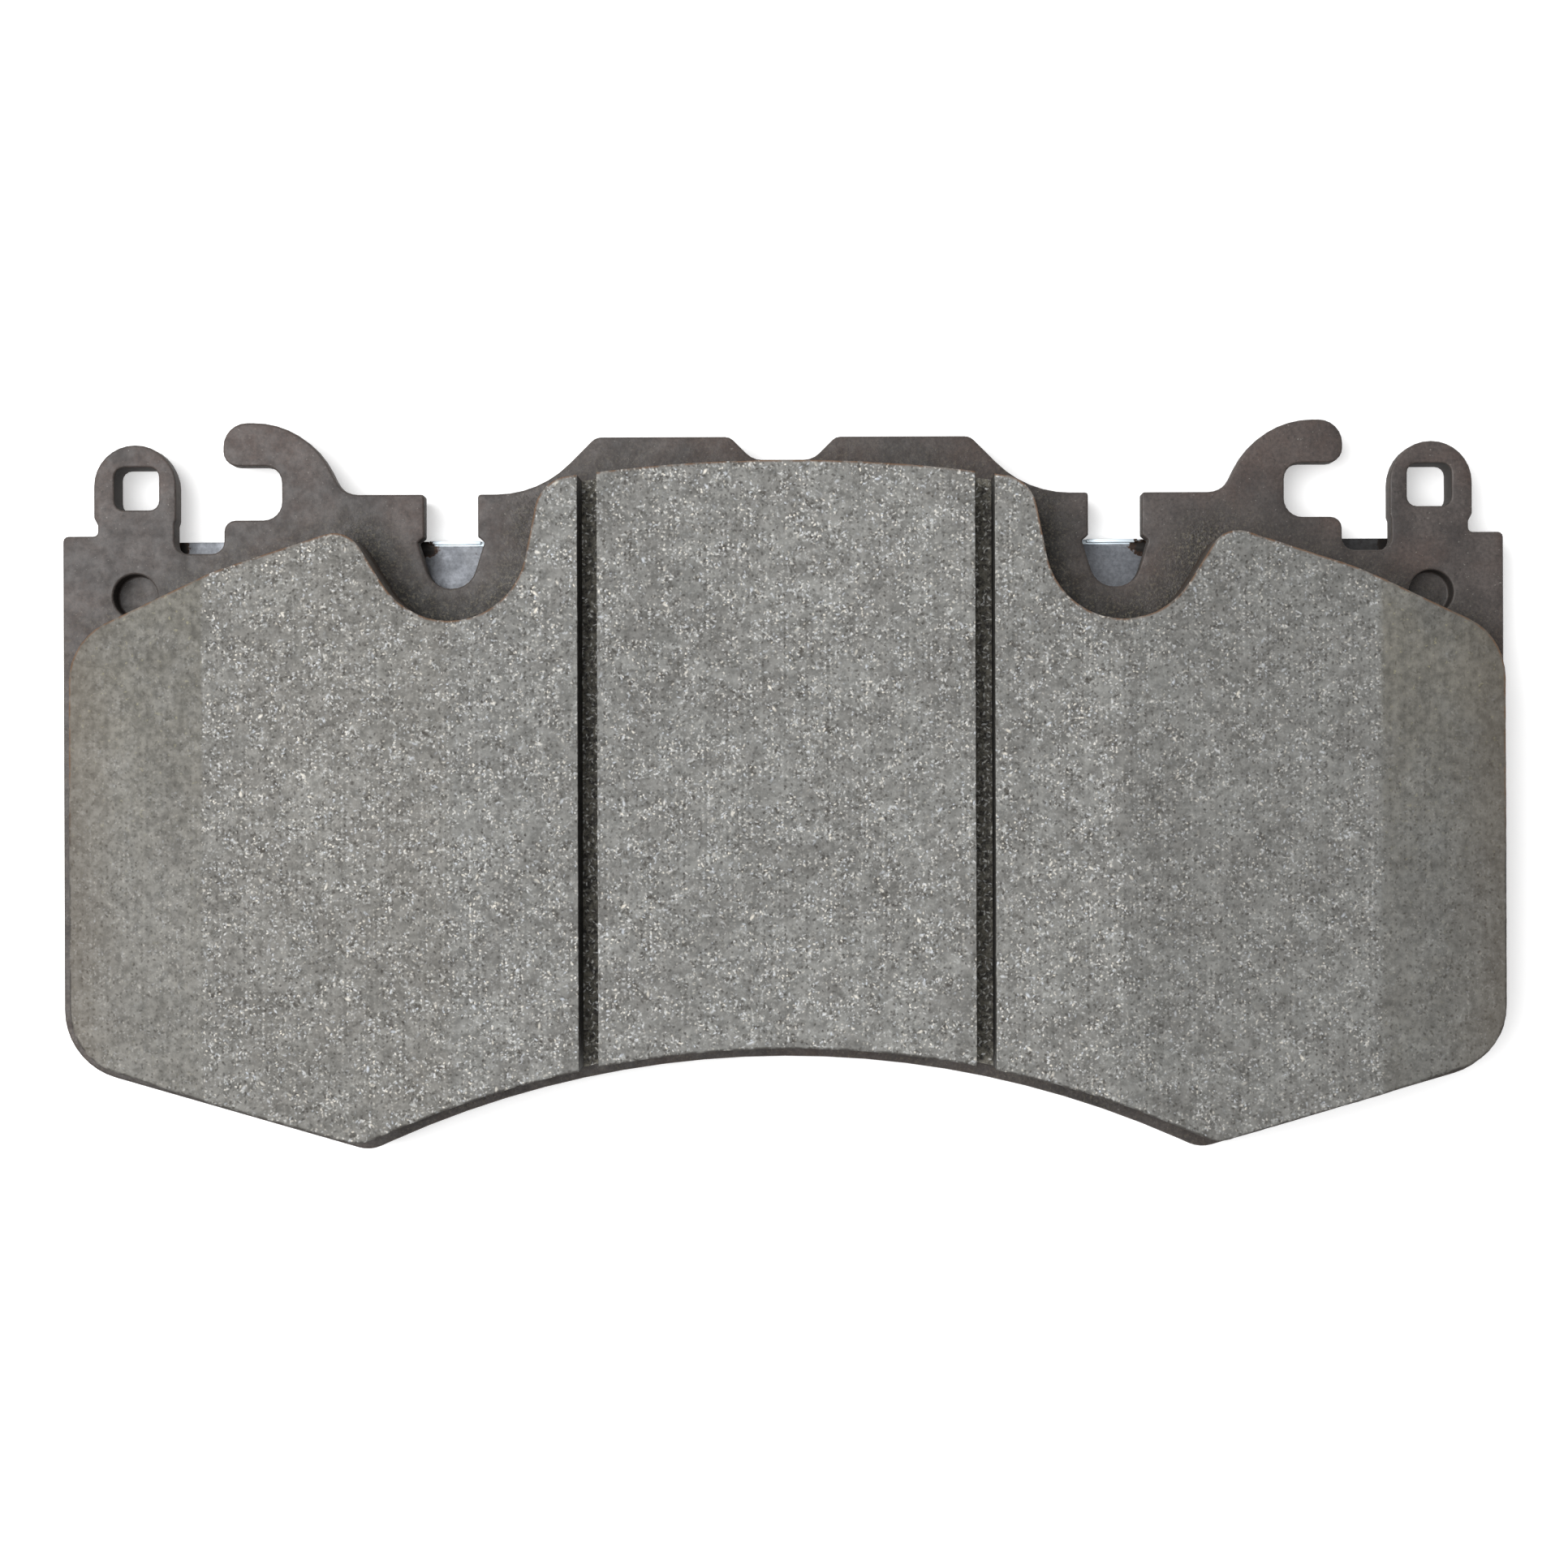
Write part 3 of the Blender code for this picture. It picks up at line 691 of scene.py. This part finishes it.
def zinc_look(name, stain_and_painted_light):
    """Zinc-coated sheet with a dull grain and stains, and on the inner sheet a painted highlight
    and painted shade.
    """
    look = Look(name, 0.42, metallic=0.55)
    grain = look.noise(0.5, 3.0, 0.65)
    colour = look.mix(look.step(grain, 0.3, 0.7), (98, 101, 106), (119, 122, 128))
    cloud = look.step(look.noise(9.0, 4.0, 0.6, shift=4.0), 0.42, 0.68)
    colour = look.mix(look.times(cloud, 0.35), colour, (90, 89, 87))
    scuffs = look.noise(1.0, 2.0, place=look.scaled((0.06, 2.2, 1.0)))
    colour = look.brighten(colour, look.step(scuffs, 0.35, 0.65, 0.95, 1.04))
    spots = look.step(look.noise(0.9, 2.0, shift=8.0), 0.68, 0.78)
    colour = look.mix(look.times(spots, stain_and_painted_light), colour, (46, 38, 32))
    rough = look.step(look.noise(2.0, 3.0, shift=21.0), 0.3, 0.7, 0.36, 0.52)
    if stain_and_painted_light > 0.5:
        y = look.part(look.mm, 1)
        across = look.math("ABSOLUTE", look.part(look.mm, 0))
        # A painted highlight along the inner sheet's top edge in the notches.
        edge_highlight = look.step(y, SHIM_HIGHLIGHT_Y, SHIM_HIGHLIGHT_Y + 0.08)
        edge_highlight = look.times(edge_highlight, look.step(across, *SHIM_HIGHLIGHT_END_X))
        colour = look.mix(edge_highlight, colour, (226, 238, 246))
        # Rust-brown stains in the corners of the notch and the ear gap, turning near black in the
        # very corner, which is painted shade.
        for centre, radii in ((POCKET_CORNER, (1.9, 1.3)), (GAP_CORNER, (1.0, 1.6))):
            colour = look.mix(look.spot(centre, radii, 0.75), colour, (66, 42, 24))
            colour = look.mix(look.spot(centre, radii, 0.45), colour, (22, 18, 15))
        # The shim in the right-hand ear gap is darkened nearly to black: partly dirt, partly
        # painted shade.
        grime_and_shade = look.step(look.noise(1.2, 3.0, 0.6, shift=33.0), 0.2, 0.6, 0.95, 0.75)
        grime_and_shade = look.times(grime_and_shade, look.step(look.part(look.mm, 0), *RIGHT_GAP_X))
        colour = look.mix(grime_and_shade, colour, (34, 31, 29))
    return look.finish(colour, rough, look.bump(grain, 0.012))


def rubber_look():
    look = Look("damping_rubber", 0.7, specular=0.3)
    return look.finish(look.mix(look.noise(0.6), (22, 22, 22), (40, 39, 38)))


def resin_look(name, dark, light):
    look = Look(name, 0.55)
    cloud = look.noise(1.1, 3.0, 0.6)
    return look.finish(look.mix(cloud, dark, light), None, look.bump(cloud, 0.03))


# Pieces ------------------------------------------------------------------------------------


def face_levels(node, facing):
    """The heights of a node's flat faces that look up (1) or down (-1), lowest first."""
    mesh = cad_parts[node].data
    faces = [face for face in mesh.polygons if face.normal.z * facing > 0.99]
    return sorted({round(mesh.vertices[face.vertices[0]].co.z / MM, 2) for face in faces})


def same_outline(loop, others):
    """Whether one of the others has the same place and size."""
    return any(
        np.abs(loop.mean(0) - other.mean(0)).max() < 0.3
        and abs(abs(loop_area(loop)) - abs(loop_area(other))) < 0.5
        for other in others
    )


def lining_loops():
    """The whole lining's outline."""
    return level_loops("lining_underlayer", node_heights("lining_underlayer")[1])


def plate_piece():
    """The backing plate, with die-rolled edges, half-sheared recesses and pegs."""
    node = "backing_plate"
    floor, front = face_levels(node, 1)
    peg_tip, back = face_levels(node, -1)
    fronts = [refined(loop, OUTLINE_STEP) for loop in level_loops(node, front)]
    backs = [refined(loop, OUTLINE_STEP) for loop in level_loops(node, back, -1)]
    shell = Shell(PLATE_STEP)
    shell.cap(fronts, flat(front), PLATE_ROLL)
    shell.cap(backs, flat(back), PLATE_BURR, facing=-1, step=SHEET_STEP)
    for loop in fronts:
        if same_outline(loop, backs):
            shell.wall(loop, flat(back + PLATE_BURR), flat(front - PLATE_ROLL), 6)
        else:
            shell.wall(loop, flat(floor + RECESS_FILLET), flat(front - PLATE_ROLL), 4)
            shell.cap([loop[::-1]], flat(floor), -RECESS_FILLET, step=RECESS_STEP)
    for loop in backs:
        if not same_outline(loop, fronts):
            shell.wall(loop[::-1], flat(peg_tip + PEG_EDGE), flat(back + PLATE_BURR), 2)
            shell.cap([loop[::-1]], flat(peg_tip), PEG_EDGE, facing=-1, step=RECESS_STEP)
    piece = shell.build("coated_backing_plate")
    points = lean_in(vertex_array(piece), backs[0], back)
    set_vertices(piece, points)
    paint(piece, "lining", edge_distance(points[:, :2], lining_loops()))
    paint(piece, "rim", edge_distance(points[:, :2], fronts))
    add_piece(piece, plate_look(), node)


def pits(points, outline, count, seed):
    """How deep small pits scattered over an outline's area reach at each point."""
    chance = np.random.default_rng(seed)
    low, high = outline.min(0), outline.max(0)
    depth = np.zeros(len(points))
    for _ in range(count):
        centre = chance.uniform(low, high)
        radius = chance.uniform(*PIT_RADIUS)
        share = ((points - centre) ** 2).sum(1) / radius**2
        depth = np.maximum(depth, chance.uniform(*PIT_DEPTH) * np.clip(1.0 - share, 0.0, 1.0) ** 2)
    return depth


def friction_piece(word, material, seed):
    """One block of friction material, with worn edges, pits and a coarse ground surface."""
    node = f"friction_block_{word}"
    bottom, _ = node_heights(node)
    outline = [refined(loop, FRICTION_STEP) for loop in level_loops(node, bottom, -1)]
    low, high = flat(bottom), upper_surface(node)
    edges = PRESSED_EDGE, FRICTION_EDGE
    piece = slab(f"ground_{node}", outline, low, high, FRICTION_STEP, *edges, rows=12)
    points, facing = vertex_array(piece), normal_array(piece)
    free = np.clip((points[:, 2] - bottom) / 1.0, 0.0, 1.0)
    rough = COARSE_RELIEF * wavy(points, 2.2) + FINE_RELIEF * wavy(points, 0.9, shift=40.0)
    edge = edge_distance(points[:, :2], outline)
    upper = np.clip((facing[:, 2] + 0.2) * 2.0, 0.0, 1.0)
    chips = np.clip(wavy(points, 1.3, shift=80.0) - 0.25, 0.0, 1.0)
    chips *= np.clip(1.0 - edge / CHIP_REACH, 0.0, 1.0)
    depth = pits(points[:, :2], outline[0], PITS_PER_BLOCK, seed) * np.clip(facing[:, 2], 0.0, 1.0)
    points += facing * ((rough - COARSE_RELIEF) * free)[:, None]
    points[:, 2] -= depth + CHIP_DEPTH * chips * upper
    set_vertices(piece, points)
    paint(piece, "rim", edge_distance(points[:, :2], lining_loops()))
    add_piece(piece, material, node)


def underlayer_piece():
    """The underlayer, whose rough top shows at the bottom of the slots."""
    node = "lining_underlayer"
    bottom, top = node_heights(node)
    outline = [refined(loop, OUTLINE_STEP) for loop in lining_loops()]
    levels, edges = (flat(bottom), flat(top)), (PRESSED_EDGE, PRESSED_EDGE)
    piece = slab("pressed_underlayer", outline, *levels, UNDERLAYER_STEP, *edges, rows=2)
    points = vertex_array(piece)
    centre_low, centre_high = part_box("friction_block_centre")
    middle = (centre_low.x + centre_high.x) / 2 / MM
    half_width = (centre_high.x - centre_low.x) / 2 / MM
    gap = np.abs(np.abs(points[:, 0] - middle) - half_width - SLOT_WIDTH / 2)
    in_slot = np.clip((SLOT_WIDTH / 2 - gap) / SLOT_FADE, 0.0, 1.0) * (points[:, 2] > top - 0.1)
    points[:, 2] += in_slot * (0.10 * wavy(points, 0.8) + 0.12 * wavy(points, 2.4, shift=30.0))
    set_vertices(piece, points)
    add_piece(piece, base_mix_look(), node)


def bevelled_copy(node, name, width):
    """A copy of a CAD node with its sharp edges rounded."""
    bm = bmesh.new()
    bm.from_mesh(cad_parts[node].data)
    bmesh.ops.remove_doubles(bm, verts=bm.verts, dist=1e-6)
    least = math.radians(SHEET_BEVEL_FROM_DEGREES)
    sharp = [edge for edge in bm.edges if edge.calc_face_angle(0.0) > least]
    shape = {"offset": width * MM, "segments": 2, "profile": 0.5, "clamp_overlap": True}
    bmesh.ops.bevel(bm, geom=sharp, affect="EDGES", **shape)
    return linked(name, bm, SHEET_SHARP_DEGREES)


def thin_pieces():
    """The shim's layers and the bond layer, which are too thin for anything but rounded edges."""
    outer = zinc_look("zinc_outer", 0.25)
    inner = zinc_look("zinc_inner", 0.8)
    film = resin_look("adhesive", (92, 60, 38), (128, 88, 56))
    bond = resin_look("bond_resin", (84, 52, 32), (124, 82, 50))
    for node, name, material, slot in (
        ("shim_outer_sheet", "zinc_outer_sheet", outer, "zinc_steel"),
        ("shim_rubber_layer", "rubber_damping_layer", rubber_look(), "damping_rubber"),
        ("shim_inner_sheet", "zinc_inner_sheet", inner, "zinc_steel"),
        ("shim_adhesive_film", "adhesive_film", film, "adhesive"),
        ("lining_bond_layer", "resin_bond_layer", bond, "bond_resin"),
    ):
        add_piece(bevelled_copy(node, name, SHEET_BEVEL), material, node)


def stage():
    """A pale floor that curves up far away, soft lights from above and the camera."""
    scene = bpy.context.scene
    scene.view_settings.view_transform = "Standard"
    profile = [(0.0, 0.0), (0.4, 0.0), (FLOOR_RADIUS, 0.0)]
    for a in np.linspace(0.1, 1.4, 14):
        rise = FLOOR_CURVE - FLOOR_CURVE * math.cos(a)
        profile.append((FLOOR_RADIUS + FLOOR_CURVE * math.sin(a), rise))
    bm = bmesh.new()
    verts = [bm.verts.new((r, 0.0, z - FLOOR_BELOW_PAD)) for r, z in profile]
    edges = [bm.edges.new(pair) for pair in zip(verts, verts[1:])]
    turn = {"axis": (0, 0, 1), "cent": (0, 0, 0), "steps": 96, "angle": 2 * math.pi}
    bmesh.ops.spin(bm, geom=verts + edges, **turn)
    bmesh.ops.remove_doubles(bm, verts=bm.verts, dist=1e-6)
    bmesh.ops.recalc_face_normals(bm, faces=bm.faces)
    floor = linked("floor", bm)
    paper = Look("floor_paper", 0.9, specular=0.1)
    paper.shader.inputs["Emission Color"].default_value = (1.0, 1.0, 1.0, 1.0)
    paper.shader.inputs["Emission Strength"].default_value = FLOOR_GLOW
    shade = paper.mix(paper.noise(40.0), (240, 240, 240), (246, 246, 246))
    floor.data.materials.append(paper.finish(shade))

    world = bpy.data.worlds.new("studio")
    world.use_nodes = True
    world.node_tree.nodes["Background"].inputs["Color"].default_value = (1.0, 1.0, 1.0, 1.0)
    world.node_tree.nodes["Background"].inputs["Strength"].default_value = WORLD_STRENGTH
    scene.world = world

    for name, place, size, watts in LIGHTS:
        lamp = bpy.data.lights.new(name, "AREA")
        lamp.shape = "DISK"
        lamp.size = size
        lamp.energy = watts
        lit = bpy.data.objects.new(name, lamp)
        lit.location = place
        lit.rotation_euler = Vector(place).to_track_quat("Z", "Y").to_euler()
        scene.collection.objects.link(lit)

    lens = bpy.data.cameras.new("camera")
    lens.lens = LENS_MM
    lens.sensor_width = SENSOR_MM
    front = face_levels("backing_plate", 1)[-1]
    across = CAMERA_ABOVE_PLATE * SENSOR_MM / LENS_MM
    lens.shift_x, lens.shift_y = (-offset / across for offset in CAMERA_OFFSET)
    lens.clip_start, lens.clip_end = 0.01, 50.0
    camera = bpy.data.objects.new("camera", lens)
    camera.location = Vector((*CAMERA_OFFSET, front + CAMERA_ABOVE_PLATE)) * MM
    camera.rotation_euler = (0.0, 0.0, math.radians(CAMERA_ROLL_DEGREES))
    scene.collection.objects.link(camera)
    scene.camera = camera


stage()
plate_piece()
friction = friction_look()
for block, word in enumerate(("left", "centre", "right")):
    friction_piece(word, friction, SEED + block)
underlayer_piece()
thin_pieces()
